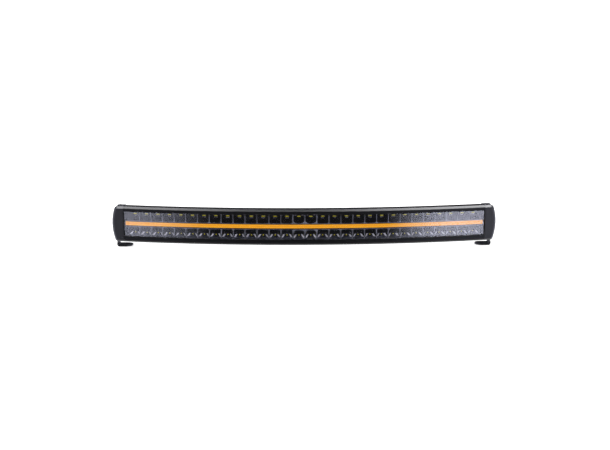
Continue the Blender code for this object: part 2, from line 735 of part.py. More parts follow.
def sink_clearance_outline():
    """What the end cap leaves free for the ends of the lens, its seal, the heat sink and the end seal."""
    lens = LENS_HALF + GAP
    far = FRAME_HALF + 0.02
    upper = [
        (LIP_THICKNESS, lens),
        (SINK_FRONT - GAP, lens),
        (SINK_FRONT - GAP, SKIRT_INSIDE),
        (SKIRT_DEPTH, SKIRT_INSIDE),
        (SKIRT_DEPTH, far),
        (BODY_DEPTH + 0.02, far),
    ]
    return upper + [(d, -z) for d, z in reversed(upper)]


def side_reach(depth):
    """How far along the end's own X the pivot face lies at a depth."""
    return (SIDE_X - END_X + depth * sin(END_ANGLE)) / cos(END_ANGLE)


def make_end_caps(looks):
    """The cast end caps: a front flange that carries on the frame, and a body with the pivot face."""
    rings = []
    for depth, share in ((0.0, 1.0), (CHAMFER_DEPTH, 0.0), (FLANGE_DEPTH, 0.0)):
        outline = cap_outline(CHAMFER_HEIGHT * share, CAP_SIDE_CHAMFER * share)
        rings.append([(x, depth, z) for x, z in outline])
    flange = loft(rings)
    body = prism(cap_body_outline(), 0, CAP_BLANK)
    beyond = box((SIDE_X, FRONT_Y, 0), (SIDE_X + 0.1, -FRONT_Y + 0.1, 2 * FRAME_HEIGHT))
    end = local_frame(WINDOW_HALF_ARC)
    body = cut(place(body, end), beyond)
    cap = join(place(flange, end), body)
    cutters = [place(prism(sink_clearance_outline(), -0.02, CAP_INSIDE), end)]
    pocket = CAP_INSIDE + CAP_POCKET_DEPTH
    half = BOARD_HALF - CAP_POCKET_MARGIN
    low = (CAP_INSIDE - 0.001, SINK_FRONT + CAP_POCKET_FRONT, -half)
    cutters.append(place(box(low, (pocket, BASE_FRONT - CAP_POCKET_BACK, half)), end))
    for depth, height in screw_places():
        seat = side_reach(depth) - SCREW_SINK
        hole = prism(circle(SCREW_RADIUS + GAP, 8, (depth, height)), CAP_INSIDE - 0.001, CAP_BLANK)
        head = prism(circle(SCREW_HEAD_RADIUS + GAP, 12, (depth, height)), seat, CAP_BLANK)
        cutters += [place(hole, end), place(head, end)]
    bore = circle(BOLT_RADIUS + GAP, 16, (PIVOT_Y, MIDDLE_Z))
    cutters.append(prism(bore, SIDE_X - BOLT_REACH - GAP, SIDE_X + 0.01))
    add_pair("end_cap", cut(cap, *cutters), looks["cap"])


def make_end_seals(looks):
    """The flat rubber seals between the heat sink's ends and the end caps."""
    start = SINK_OVERRUN + GAP
    upper = [
        (SINK_FRONT, SKIRT_INSIDE - 2 * GAP),
        (SKIRT_DEPTH + CAP_SHOULDER_RUN, SKIRT_INSIDE - 2 * GAP),
        (FIN_TIPS[0], SHOULDER_HALF - CAP_SHOULDER_DROP - SEAL_SHOULDER_INSET),
        (FIN_TIPS[2], SHOULDER_HALF - SEAL_BACK_DROP * FIN_PITCH),
        (BODY_DEPTH - SEAL_BACK_INSET, REAR_FIN_OFFSET),
    ]
    outline = upper + [(d, -z) for d, z in reversed(upper)]
    bm = prism(outline, start, start + END_SEAL_THICKNESS)
    half = REFLECTOR_HALF - SEAL_WINDOW_MARGIN
    duct = DUCT_HALF - DUCT_CORNER
    cutters = [
        box((0, SINK_FRONT + SEAL_WINDOW_FRONT, -half), (CAP_BLANK, BASE_FRONT - SEAL_LAP, half)),
        box((0, BASE_BACK + SEAL_LAP, -duct), (CAP_BLANK, DUCT_BACK - SEAL_DUCT_LAP, duct)),
    ]
    for where in screw_places():
        cutters.append(prism(circle(SCREW_RADIUS + GAP, 8, where), 0, CAP_BLANK))
    add_pair("end_seal", place(cut(bm, *cutters), local_frame(WINDOW_HALF_ARC)), looks["rubber"])


def make_screws(looks):
    """Four countersunk-pocket screws at each end, along the bar, through the cap into the heat sink."""
    names = ("front_top", "front_bottom", "rear_top", "rear_bottom")
    for name, (depth, height) in zip(names, screw_places()):
        seat = side_reach(depth) - SCREW_SINK
        tip = SINK_OVERRUN - SCREW_REACH
        shank = prism(circle(SCREW_RADIUS, 8, (depth, height)), tip, seat + 0.001)
        base = seat + GAP
        head = prism(circle(SCREW_HEAD_RADIUS, 12, (depth, height)), base, base + SCREW_HEAD_HEIGHT)
        hexagon = circle(SCREW_SOCKET_RADIUS, 6, (depth, height))
        socket = prism(hexagon, base + SCREW_SOCKET_FLOOR, base + 0.01)
        bm = cut(join(shank, head), socket)
        add_pair(f"cap_screw_{name}", place(bm, local_frame(WINDOW_HALF_ARC)), looks["steel"], 40)


# Brackets and pivots


def make_brackets(looks):
    """Bent steel straps: an arm with a pivot eye outside the end cap, and a foot turned in under the bar."""
    inner_x = STRAP_OUTSIDE_X - FOOT_LENGTH
    tip_x = inner_x + FOOT_WIDTH / 2
    steps = 5
    side = []
    for i in range(steps + 1):
        angle = pi / 2 * i / steps
        side.append((sin(angle), cos(angle)))
    outer = [
        (STRAP_OUTSIDE_X - STRAP_BEND + STRAP_BEND * a, STRAP_BEND - STRAP_BEND * b) for a, b in side
    ]
    bend_inside = STRAP_BEND - STRAP
    inner = [
        (STRAP_OUTSIDE_X - STRAP_BEND + bend_inside * a, STRAP_BEND - bend_inside * b)
        for a, b in reversed(side)
    ]
    top = MIDDLE_Z + ARM_EYE_RADIUS + 0.01
    outline = [(inner_x, 0.0), *outer, (STRAP_OUTSIDE_X, top), (STRAP_INSIDE_X, top), *inner, (inner_x, STRAP)]
    strap = prism(outline, PIVOT_Y - FOOT_WIDTH / 2, PIVOT_Y + FOOT_WIDTH / 2, "Y")
    half = FOOT_WIDTH / 2
    far = STRAP_OUTSIDE_X + 0.01
    plan = [(tip_x + half * cos(a), PIVOT_Y + half * sin(a)) for a in (pi / 2 + pi * i / 12 for i in range(13))]
    plan = prism([*plan, (far, PIVOT_Y - half), (far, PIVOT_Y + half)], -0.01, top + 0.01, "Z")
    arm = ARM_WIDTH / 2
    join_angle = asin(arm / ARM_EYE_RADIUS)
    eye = []
    for i in range(15):
        angle = -(pi / 2 - join_angle) + (2 * pi - 2 * join_angle) * i / 14
        eye.append((PIVOT_Y + ARM_EYE_RADIUS * cos(angle), MIDDLE_Z + ARM_EYE_RADIUS * sin(angle)))
    knee = STRAP_BEND + KNEE_HEIGHT
    shoulder = knee + (half - arm)
    face = [
        (PIVOT_Y - half, -0.01),
        (PIVOT_Y + half, -0.01),
        (PIVOT_Y + half, knee),
        (PIVOT_Y + arm, shoulder),
        *eye,
        (PIVOT_Y - arm, shoulder),
        (PIVOT_Y - half, knee),
    ]
    front = prism(face, inner_x - 0.01, far)
    bm = boolean(strap, [plan, front], "INTERSECT")
    reach = (SLOT_LENGTH - SLOT_WIDTH) / 2
    slot = []
    for centre, start in ((tip_x + reach, -pi / 2), (tip_x - reach, pi / 2)):
        for i in range(9):
            angle = start + pi * i / 8
            slot.append((centre + SLOT_WIDTH / 2 * cos(angle), PIVOT_Y + SLOT_WIDTH / 2 * sin(angle)))
    hole = prism(circle(BOLT_RADIUS + GAP, 16, (PIVOT_Y, MIDDLE_Z)), STRAP_INSIDE_X - 0.01, far)
    bm = cut(bm, prism(slot, -0.01, STRAP + 0.01, "Z"), hole)
    for made, sign in zip(add_pair("bracket", bm, looks["steel"]), (-1, 1)):
        set_origin(made, (sign * STRAP_OUTSIDE_X, PIVOT_Y, MIDDLE_Z))


def ring_plate(radius, start, thickness, sides):
    """A washer on the right-hand pivot axis."""
    centre = (PIVOT_Y, MIDDLE_Z)
    bm = prism(circle(radius, sides, centre), start, start + thickness)
    return cut(bm, prism(circle(BOLT_RADIUS + GAP, 16, centre), start - 0.01, start + 0.01))


def make_pivots(looks):
    """A low-head bolt, a flat washer and a spring washer clamp each bracket to its end cap."""
    centre = (PIVOT_Y, MIDDLE_Z)
    start = STRAP_OUTSIDE_X + GAP
    add_pair("pivot_washer", ring_plate(WASHER_RADIUS, start, WASHER_THICKNESS, 20), looks["steel"], 40)
    start += WASHER_THICKNESS + GAP
    spring = ring_plate(SPRING_WASHER_RADIUS, start, SPRING_WASHER_THICKNESS, 20)
    split_end = (start + 0.01, PIVOT_Y + SPRING_WASHER_SPLIT, MIDDLE_Z + 0.02)
    split = box((start - 0.01, PIVOT_Y, MIDDLE_Z), split_end)
    add_pair("spring_washer", cut(spring, split), looks["steel"], 40)
    start += SPRING_WASHER_THICKNESS + GAP
    shank = prism(circle(BOLT_RADIUS, 16, centre), SIDE_X - BOLT_REACH, start + 0.001)
    head = prism(circle(BOLT_HEAD_RADIUS, 20, centre), start, start + BOLT_HEAD_HEIGHT)
    socket = circle(SOCKET_FLATS / sqrt(3), 6, centre)
    socket = prism(socket, start + BOLT_HEAD_HEIGHT - SOCKET_DEPTH, start + 0.01)
    bm = cut(join(shank, head), socket)
    for made, sign in zip(add_pair("pivot_bolt", bm, looks["steel"], 40), (-1, 1)):
        set_origin(made, (sign * SIDE_X, PIVOT_Y, MIDDLE_Z))


# Cable gland, vent and driver


def make_gland(looks):
    """The cable inlet at the middle of the back: body through the duct wall, seal ring and dome nut."""
    bore = GLAND_BORE / 2
    seat = DUCT_OUTSIDE + GAP
    flange = seat + GLAND_FLANGE
    nose = flange + GLAND_NOSE_LENGTH
    back = local_frame(0)
    hexagon = prism(circle(GLAND_FLATS / sqrt(3), 6), seat, flange, "Y")
    shank = prism(circle(GLAND_SHANK_RADIUS, 20), DUCT_BACK - GLAND_TAIL, seat + 0.001, "Y")
    thread = prism(circle(GLAND_NOSE_RADIUS, 20), flange - 0.001, nose, "Y")
    hole = prism(circle(bore + GLAND_CLEARANCE, 16), DUCT_BACK - 0.01, nose + 0.01, "Y")
    inside = GLAND_NOSE_RADIUS - GLAND_NOSE_WALL
    pocket = prism(circle(inside, 20), flange + GLAND_SEAL_SEAT - GLAND_CLEARANCE, nose + 0.01, "Y")
    add_object("gland_body", place(cut(join(hexagon, shank, thread), hole, pocket), back), looks["gland"], 40)

    outer = inside - GAP
    seal = [
        (bore, flange + GLAND_SEAL_SEAT),
        (outer, flange + GLAND_SEAL_SEAT),
        (outer, nose),
        (outer - GLAND_SEAL_RISE, nose + GLAND_SEAL_RISE),
        (bore, nose + GLAND_SEAL_RISE),
    ]
    add_object("gland_seal", place(turned(seal, 20), back), looks["rubber"], 40)

    start = flange + GLAND_NUT_START
    end = start + GLAND_NUT_LENGTH
    inside = GLAND_NOSE_RADIUS + GAP
    outside = inside + GLAND_NUT_WALL
    nut = [
        (inside, start),
        (outside, start),
        (outside, end - 0.005),
        (outside - 0.001, end - 0.002),
        (outside - 0.0035, end),
        (bore + GLAND_CLEARANCE, end),
        (bore + GLAND_CLEARANCE, end - GLAND_LIP),
        (inside - 0.0008, end - GLAND_LIP - 0.0015),
        (inside, end - GLAND_LIP - 0.003),
    ]
    add_object("gland_nut", place(turned(nut, 12), back), looks["gland"])


def make_vent(looks):
    """The pressure vent plug beside the gland."""
    seat = DUCT_OUTSIDE + GAP
    profile = [
        (0.0, DUCT_BACK - GLAND_TAIL),
        (VENT_STEM_RADIUS, DUCT_BACK - GLAND_TAIL),
        (VENT_STEM_RADIUS, seat),
        (VENT_RADIUS, seat),
        (VENT_RADIUS, seat + VENT_HEIGHT - 0.001),
        (VENT_RADIUS - 0.001, seat + VENT_HEIGHT),
        (0.0, seat + VENT_HEIGHT),
    ]
    bm = place(turned(profile, 20), local_frame(VENT_COLUMN * PITCH))
    add_object("vent_plug", bm, looks["gland"], 40)


def make_driver(looks):
    """The driver board with its components, on a soft pad against the base plate inside the duct."""
    where = local_frame(DRIVER_COLUMN * PITCH)
    half = DRIVER_LENGTH / 2
    tall = DRIVER_HEIGHT / 2
    start = BASE_BACK + DRIVER_RISE
    pad_half = half - DRIVER_PAD_INSETS[0]
    pad_tall = tall - DRIVER_PAD_INSETS[1]
    pad = box((-pad_half, start, -pad_tall), (pad_half, start + DRIVER_PAD, pad_tall))
    add_object("driver_pad", place(pad, where), looks["pad"])
    front = start + DRIVER_PAD + GAP
    back = front + BOARD_THICKNESS
    bm = box((-half, front, -tall), (half, back, tall))
    parts = []
    for along, length, height, rise in DRIVER_PARTS:
        parts.append(box((along - length, back - 0.0005, -height), (along + length, back + rise, height)))
    add_object("driver_board", place(join(bm, *parts), where), looks["board"])


for old in list(bpy.data.objects):
    bpy.data.objects.remove(old)
looks = make_looks()
make_heat_sink(looks)
make_rails(looks)
make_lens(looks)
make_lens_seal(looks)
make_reflectors(looks)
make_led_boards(looks)
make_thermal_pad(looks)
make_light_guide(looks)
make_guide_carrier(looks)
make_guide_boards(looks)
make_end_caps(looks)
make_end_seals(looks)
make_screws(looks)
make_brackets(looks)
make_pivots(looks)
make_gland(looks)
make_vent(looks)
make_driver(looks)
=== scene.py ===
from math import cos, pi, radians, sin, sqrt

import bmesh
import bpy
from mathutils import Matrix, Vector


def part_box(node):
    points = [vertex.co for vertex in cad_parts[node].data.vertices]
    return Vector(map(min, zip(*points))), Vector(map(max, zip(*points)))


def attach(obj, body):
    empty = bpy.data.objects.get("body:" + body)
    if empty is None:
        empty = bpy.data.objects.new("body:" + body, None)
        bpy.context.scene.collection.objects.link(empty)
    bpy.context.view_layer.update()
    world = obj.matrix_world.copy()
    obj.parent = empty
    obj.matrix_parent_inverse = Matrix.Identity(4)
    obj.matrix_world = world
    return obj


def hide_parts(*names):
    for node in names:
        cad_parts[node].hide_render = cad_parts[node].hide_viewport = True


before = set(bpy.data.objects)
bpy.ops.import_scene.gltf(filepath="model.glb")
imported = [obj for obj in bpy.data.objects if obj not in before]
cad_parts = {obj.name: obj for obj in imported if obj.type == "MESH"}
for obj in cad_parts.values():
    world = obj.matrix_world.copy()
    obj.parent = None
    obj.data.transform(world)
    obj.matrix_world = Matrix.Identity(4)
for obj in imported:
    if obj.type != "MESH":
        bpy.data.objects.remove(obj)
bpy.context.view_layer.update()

# ---------------------------------------------------------------------------------------------
# Finned housing. One aluminium extrusion with a channel for the optics in front and cooling fins
# behind, bent to an arc and black anodised. Two flats are milled for the cable gland and the vent.

BEND_RADIUS = 1.95  # of the bar's front face
PITCH = 0.027  # one LED column along the front arc
COLUMNS = 30
END_MARGIN = 0.009  # of the window past the outermost column
WINDOW_ARC = COLUMNS / 2 * PITCH + END_MARGIN  # from the middle to the window's end
FRONT_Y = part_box("frame_rail_top")[0].y
CENTRE_Y = FRONT_Y + BEND_RADIUS
MIDDLE_Z = (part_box("heat_sink")[0].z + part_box("heat_sink")[1].z) / 2
SHARP_ANGLE = 35  # degrees between two faces from which their edge looks sharp


def linear(hex_colour):
    """An sRGB hex colour as the linear RGBA that a shader takes."""
    values = [int(hex_colour[i : i + 2], 16) / 255 for i in (1, 3, 5)]
    return (*[v / 12.92 if v <= 0.04045 else ((v + 0.055) / 1.055) ** 2.4 for v in values], 1.0)


def put(tree, kind, inputs=None, **settings):
    """Adds a node. An input that is a socket is linked, and any other value is set on it."""
    made = tree.nodes.new(kind)
    for name, value in settings.items():
        setattr(made, name, value)
    for name, value in (inputs or {}).items():
        if isinstance(value, bpy.types.NodeSocket):
            tree.links.new(value, made.inputs[name])
        else:
            made.inputs[name].default_value = value
    return made


def start_material(name):
    """A new material's node tree and its shader, with everything else still to be added."""
    made = bpy.data.materials.new(name)
    made.use_nodes = True
    return made, made.node_tree, made.node_tree.nodes["Principled BSDF"]


def speckle(tree, size, detail=2.0, stretch=(1, 1, 1)):
    """Noise with lumps of a size in metres, on the object's own coordinates."""
    where = put(tree, "ShaderNodeTexCoord")
    turned = put(tree, "ShaderNodeMapping", {"Vector": where.outputs["Object"], "Scale": stretch})
    return put(
        tree,
        "ShaderNodeTexNoise",
        {"Vector": turned.outputs["Vector"], "Scale": 1 / size, "Detail": detail},
    ).outputs["Fac"]


def between(tree, factor, low, high, start=0.0, end=1.0):
    """Turns a factor from start to end into a value from low to high."""
    inputs = {"Value": factor, "From Min": start, "From Max": end, "To Min": low, "To Max": high}
    return put(tree, "ShaderNodeMapRange", inputs).outputs["Result"]


def two_colours(tree, factor, first, second):
    """A colour that goes from one hex colour to the other with the factor."""
    ramp = put(tree, "ShaderNodeValToRGB", {"Fac": factor})
    ramp.color_ramp.elements[0].color = linear(first)
    ramp.color_ramp.elements[1].color = linear(second)
    return ramp.outputs["Color"]


def bumpy(tree, shader, height, depth, strength=1.0):
    """Gives a shader's surface a bump of a depth in metres."""
    bump = put(tree, "ShaderNodeBump", {"Height": height, "Distance": depth, "Strength": strength})
    tree.links.new(bump.outputs["Normal"], shader.inputs["Normal"])


def painted(name, dark, light, roughness, grain, depth, specular):
    """A black coat on metal or a black moulding: slight colour drift, grain of a size in metres."""
    made, tree, shader = start_material(name)
    drift = speckle(tree, 0.02, 3.0)
    fine = speckle(tree, grain, 2.0)
    tree.links.new(two_colours(tree, drift, dark, light), shader.inputs["Base Color"])
    rough = between(tree, fine, roughness - 0.05, roughness + 0.07)
    tree.links.new(rough, shader.inputs["Roughness"])
    shader.inputs["Specular IOR Level"].default_value = specular
    bumpy(tree, shader, fine, depth)
    return made


def arc_point(along, depth, height):
    """The place of a point given along the front arc, behind the front face and above the middle."""
    angle = along / BEND_RADIUS
    radius = BEND_RADIUS - depth
    return Vector((radius * sin(angle), CENTRE_Y - radius * cos(angle), MIDDLE_Z + height))


def rounded(outline, radius, segments=3):
    """A closed outline with each corner turned into a small arc, held to a third of its sides."""
    made = []
    for i, corner in enumerate(outline):
        corner = Vector(corner)
        before = Vector(outline[i - 1]) - corner
        after = Vector(outline[(i + 1) % len(outline)]) - corner
        reach = min(radius, before.length * 0.33, after.length * 0.33)
        start = corner + before.normalized() * reach
        end = corner + after.normalized() * reach
        for k in range(segments + 1):
            t = k / segments
            made.append(tuple(start * (1 - t) ** 2 + corner * 2 * t * (1 - t) + end * t**2))
    return made


def new_piece(name, bm, look, body, replaced, sharp=SHARP_ANGLE):
    """Makes a finished mesh object that rides on a body and stands for CAD nodes."""
    mesh = bpy.data.meshes.new(name)
    bm.to_mesh(mesh)
    bm.free()
    for one in look if isinstance(look, list) else [look]:
        mesh.materials.append(one)
    mesh.shade_smooth()
    mesh.set_sharp_from_angle(angle=radians(sharp))
    made = bpy.data.objects.new(name, mesh)
    bpy.context.scene.collection.objects.link(made)
    if body:
        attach(made, body)
    if replaced:
        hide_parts(*replaced)
    return made


def swept(outline, end, steps):
    """A closed mesh of a (depth, height) outline swept round the bend, to an arc length each way."""
    bm = bmesh.new()
    face = bm.faces.new([bm.verts.new(arc_point(-end, d, z)) for d, z in outline])
    bmesh.ops.spin(
        bm,
        geom=[face, *face.edges, *face.verts],
        cent=(0, CENTRE_Y, 0),
        axis=(0, 0, 1),
        angle=2 * end / BEND_RADIUS,
        steps=steps,
    )
    bmesh.ops.recalc_face_normals(bm, faces=bm.faces)
    return bm


def mirror_pairs(upper):
    """An outline from its upper half, run from the front to the middle of the back."""
    return upper + [(d, -z) for d, z in reversed(upper)]


def carved(piece, cutters):
    """Cuts boxes or other closed bmeshes out of a piece and keeps its materials."""
    for bm in cutters:
        mesh = bpy.data.meshes.new("cutter")
        bm.to_mesh(mesh)
        bm.free()
        tool = bpy.data.objects.new("cutter", mesh)
        bpy.context.scene.collection.objects.link(tool)
        step = piece.modifiers.new("cut", "BOOLEAN")
        step.operation = "DIFFERENCE"
        step.solver = "EXACT"
        step.object = tool
        bpy.context.view_layer.update()
        graph = bpy.context.evaluated_depsgraph_get()
        done = bpy.data.meshes.new_from_object(piece.evaluated_get(graph))
        piece.modifiers.clear()
        piece.data = done
        bpy.data.objects.remove(tool)


def block(low, high):
    """A closed box between two corners."""
    bm = bmesh.new()
    size = Vector(high) - Vector(low)
    middle = (Vector(high) + Vector(low)) / 2
    bmesh.ops.create_cube(bm, size=1.0, matrix=Matrix.Translation(middle) @ Matrix.Diagonal((*size, 1)))
    return bm


def anodised(name):
    """Black anodised extrusion: dark grey metal with fine draw lines along the bar."""
    made, tree, shader = start_material(name)
    lines = speckle(tree, 0.0011, 3.0, (0.03, 0.6, 1.0))
    drift = speckle(tree, 0.03, 2.0)
    tree.links.new(two_colours(tree, drift, "#1A1A1C", "#232326"), shader.inputs["Base Color"])
    tree.links.new(between(tree, lines, 0.36, 0.52), shader.inputs["Roughness"])
    shader.inputs["Metallic"].default_value = 0.55
    shader.inputs["Specular IOR Level"].default_value = 0.35
    bumpy(tree, shader, lines, 0.00004)
    return made


SINK_END = WINDOW_ARC + 0.005  # hidden in the end caps
LEDGE_FRONT = 0.0086  # of the ledge that the lens seal lies on
LEDGE_BACK = 0.0116
LEDGE_INSIDE = 0.0304
WALL_INSIDE = 0.0336
WALL_OUTSIDE = 0.03775
WALL_CORNER = 0.0055  # slope between the wall and the base plate
GROOVE_FRONT = 0.0191  # of the groove that the rails' beads snap into
GROOVE_BACK = 0.0213
GROOVE_FLOOR = 0.03685
SHOULDER = 0.0389
SHOULDER_BACK = 0.025
BASE_FRONT = 0.024
BASE_BACK = 0.029
FIN_THICKNESS = 0.0021
FIN_PITCH = 0.0057
FIN_TIPS = (0.040, 0.0475, 0.0535, 0.058)  # from the outermost inwards
OUTER_FIN_TOP = 0.0365
FIN_TOPS = [OUTER_FIN_TOP - i * FIN_PITCH for i in range(len(FIN_TIPS))]
DUCT_HALF = 0.0145
DUCT_OUTSIDE = 0.047
REAR_FIN_TIP = 0.060
REAR_FIN_TOP = 0.01055
REAR_FIN_UNDER = REAR_FIN_TOP - FIN_THICKNESS
HOUSING_EDGE = 0.0005
channel = [
    (BASE_FRONT, WALL_INSIDE - WALL_CORNER),
    (BASE_FRONT - WALL_CORNER, WALL_INSIDE),
    (LEDGE_BACK, WALL_INSIDE),
    (LEDGE_BACK, LEDGE_INSIDE),
    (LEDGE_FRONT, LEDGE_INSIDE),
    (LEDGE_FRONT, WALL_OUTSIDE),
    (GROOVE_FRONT, WALL_OUTSIDE),
    (GROOVE_FRONT, GROOVE_FLOOR),
    (GROOVE_BACK, GROOVE_FLOOR),
    (GROOVE_BACK, SHOULDER),
    (SHOULDER_BACK, SHOULDER),
    (BASE_BACK, FIN_TOPS[0]),
]
for tip, top in zip(FIN_TIPS, FIN_TOPS):
    if top < FIN_TOPS[0]:
        channel.append((BASE_BACK, top))
    channel += [(tip, top), (tip, top - FIN_THICKNESS), (BASE_BACK, top - FIN_THICKNESS)]
channel += [(BASE_BACK, DUCT_HALF), (DUCT_OUTSIDE, DUCT_HALF), (DUCT_OUTSIDE, REAR_FIN_TOP)]
channel += [(REAR_FIN_TIP, REAR_FIN_TOP), (REAR_FIN_TIP, REAR_FIN_UNDER), (DUCT_OUTSIDE, REAR_FIN_UNDER)]
channel += [(DUCT_OUTSIDE, FIN_THICKNESS / 2), (REAR_FIN_TIP, FIN_THICKNESS / 2)]
housing_coat = anodised("black_anodised_extrusion")
housing = new_piece(
    "finned_housing",
    swept(rounded(mirror_pairs(channel), HOUSING_EDGE, 2), SINK_END, 48),
    housing_coat,
    "bar",
    ["heat_sink"],
)
FLATS = ((0.0, 0.0167), (3 * PITCH, 0.010))  # arc and half width, for the gland and for the vent
FLAT_LIFT = 0.0002  # of a milled flat above the duct's back
FLAT_REACH = 0.03  # past the fins' tips
flats = []
for along, half in FLATS:
    turned = Matrix.Rotation(along / BEND_RADIUS, 4, "Z")
    placed = Matrix.Translation(arc_point(along, DUCT_OUTSIDE, 0)) @ turned
    flat = block((-half, FLAT_LIFT, -half), (half, FLAT_REACH, half))
    bmesh.ops.transform(flat, matrix=placed, verts=flat.verts)
    flats.append(flat)
carved(housing, flats)
housing.data.shade_smooth()
housing.data.set_sharp_from_angle(angle=radians(SHARP_ANGLE))

# ---------------------------------------------------------------------------------------------
# Wiring duct and its driver. The driver board lies on a soft silicone pad in the duct, and a thin
# pad carries the heat of the LED boards to the base plate. The position light's two small boards
# have the same black mask. None of them shows once the bar is assembled.


def dress(look, *names):
    """Gives CAD nodes whose shape stays as it is their material."""
    for name in names:
        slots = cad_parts[name].data.materials
        slots.clear()
        slots.append(look)


gap_pad = painted("filled_silicone_pad", "#7B7F86", "#8C9097", 0.75, 0.0006, 0.00004, 0.3)
solder_mask = painted("black_solder_mask", "#0E0F11", "#15171A", 0.42, 0.0009, 0.00001, 0.4)
dress(gap_pad, "thermal_pad", "driver_pad")
dress(solder_mask, "driver_board", "guide_board_left", "guide_board_right")

# ---------------------------------------------------------------------------------------------
# LED boards. Black metal-core boards, each with two rows of LED packages. A low yellow phosphor dome
# on each package gives the yellow spots, and the upper row's domes are wide.

ROW = 0.0215  # of the LED rows, above and below the middle
BOARD_FRONT = 0.0212
BOARD_BACK = 0.0228
BOARD_HEIGHT = 0.055
MODULE_GAP = 0.0003  # between neighbouring boards
LED_RISE = 0.0012
EMITTERS = ((ROW, 0.0088, 0.0022), (-ROW, 0.0024, 0.0024))  # height, emitter width, emitter height
PACKAGE_HEIGHT = 0.0042
PACKAGE_RIM = 0.001  # of a package round its emitter
LEAST_WIDTH = 0.0034
PACKAGE_LIFT = 0.00005  # keeps a package clear of the board's face
DOME_LIFT = 0.0001
DOME_DEPTH = 0.0010
MODULES = ((-15, -8), (-8, -1), (-1, 1), (1, 8), (8, 15))  # in columns from the middle


def bend(bm):
    """Bends a mesh made straight, with X along the arc and Y as depth, into its place."""
    for v in bm.verts:
        v.co = arc_point(*v.co)
    return bm


def phosphor_material():
    """Yellow LED phosphor in silicone: even colour with fine speckle and a faint glow of its own."""
    made, tree, shader = start_material("yellow_phosphor")
    fine = speckle(tree, 0.0004, 2.0)
    tree.links.new(two_colours(tree, fine, "#BDB21F", "#E2D84A"), shader.inputs["Base Color"])
    shader.inputs["Roughness"].default_value = 0.35
    shader.inputs["Emission Color"].default_value = linear("#D6C832")
    shader.inputs["Emission Strength"].default_value = 0.28
    return made


phosphor = phosphor_material()
for number, (first, last) in enumerate(MODULES, 1):
    straight = bmesh.new()
    start = first * PITCH + MODULE_GAP / 2
    length = (last - first) * PITCH - MODULE_GAP
    middle = ((first + last) / 2 * PITCH, (BOARD_FRONT + BOARD_BACK) / 2, 0)
    size = (length, BOARD_BACK - BOARD_FRONT, BOARD_HEIGHT, 1)
    bmesh.ops.create_cube(straight, matrix=Matrix.Translation(middle) @ Matrix.Diagonal(size))
    for i in range(1, 2 * (last - first)):
        cut_at = (start + i * length / (2 * (last - first)), 0, 0)
        everything = [*straight.verts, *straight.edges, *straight.faces]
        bmesh.ops.bisect_plane(straight, geom=everything, plane_co=cut_at, plane_no=(1, 0, 0))
    for i in range(last - first):
        x = (first + i + 0.5) * PITCH
        for z, wide, tall in EMITTERS:
            package = Matrix.Translation((x, BOARD_FRONT - LED_RISE / 2 - PACKAGE_LIFT, z))
            package_size = (max(wide, LEAST_WIDTH) + PACKAGE_RIM, LED_RISE, PACKAGE_HEIGHT, 1)
            bmesh.ops.create_cube(straight, matrix=package @ Matrix.Diagonal(package_size))
            dome = bmesh.ops.create_uvsphere(straight, u_segments=12, v_segments=6, radius=0.5)["verts"]
            lift = Matrix.Translation((x, BOARD_FRONT - LED_RISE - DOME_LIFT, z))
            dome_size = Matrix.Diagonal((wide, DOME_DEPTH, tall, 1))
            bmesh.ops.transform(straight, matrix=lift @ dome_size, verts=dome)
            for face in {f for v in dome for f in v.link_faces}:
                face.material_index = 1
    new_piece(
        f"led_board_{number}_lit",
        bend(straight),
        [solder_mask, phosphor],
        "bar",
        [f"led_board_{number}"],
    )

# ---------------------------------------------------------------------------------------------
# Reflectors. Five moulded trays with two rows of bowls, vacuum plated in dark chrome. Each bowl
# narrows from its mouth to the opening for the LED. Its bright wings and spots are painted
# reflections and highlights, a pattern in the plating's material, and the bowls' own walls are
# smooth.

REFLECTOR_FRONT = 0.0089
REFLECTOR_BACK = 0.0207
CELL_LOW = 0.0065  # lower edge of the upper row's cells, above the middle
CELL_HIGH = 0.0294
CELL_GAP = 0.00002  # lets the merging join neighbouring cells
RIB_HALF = 0.0006
LED_OPENING = 0.0033
BOWL_STEPS = 7
BOWL_CURVE = 1.3  # 2 for a ball's curve, and less for a bowl that narrows sooner
CORNERS = {False: 0.28, True: 0.75}  # of the square and round bowls' mouths, with 1 for a circle
MIDDLE_PLATE = 0.0176  # depth of the plate between the rows, behind the position light
TRAY_WALL = 0.0004
# The shares below place the painted reflections and highlights in a bowl.
WING_LEVEL = 0.29  # this and the next nine are shares of a cell's height or width
WING_FOOT = 0.47  # where a wing would meet the cell's lower edge, from the middle
WING_LEAN = -0.55
WING_HALF = 0.050
BROW_LEVEL = 0.86
FOOT_LEVEL = 0.26
SPOT_LEVEL = 0.52
SPOT_ASIDE = 0.07
ROUND_SPOT_LEVEL = 0.84
ROUND_SPOT_ASIDE = 0.25
MERGE_DISTANCE = 0.0001


def smooth_step(tree, value, start, end):
    """0 before start, 1 after end, and a smooth turn between them."""
    inputs = {"Value": value, "From Min": start, "From Max": end}
    made = put(tree, "ShaderNodeMapRange", inputs, interpolation_type="SMOOTHSTEP")
    return made.outputs["Result"]


def sum_up(tree, operation, first, second=0.0, third=0.0):
    """One step of arithmetic on values or sockets."""
    made = put(tree, "ShaderNodeMath", {0: first, 1: second, 2: third}, operation=operation)
    return made.outputs["Value"]


def hill(tree, value, middle, half, soft):
    """1 within half of the middle, falling to 0 over the next stretch."""
    off = sum_up(tree, "ABSOLUTE", sum_up(tree, "SUBTRACT", value, middle))
    return smooth_step(tree, off, half + soft, half)


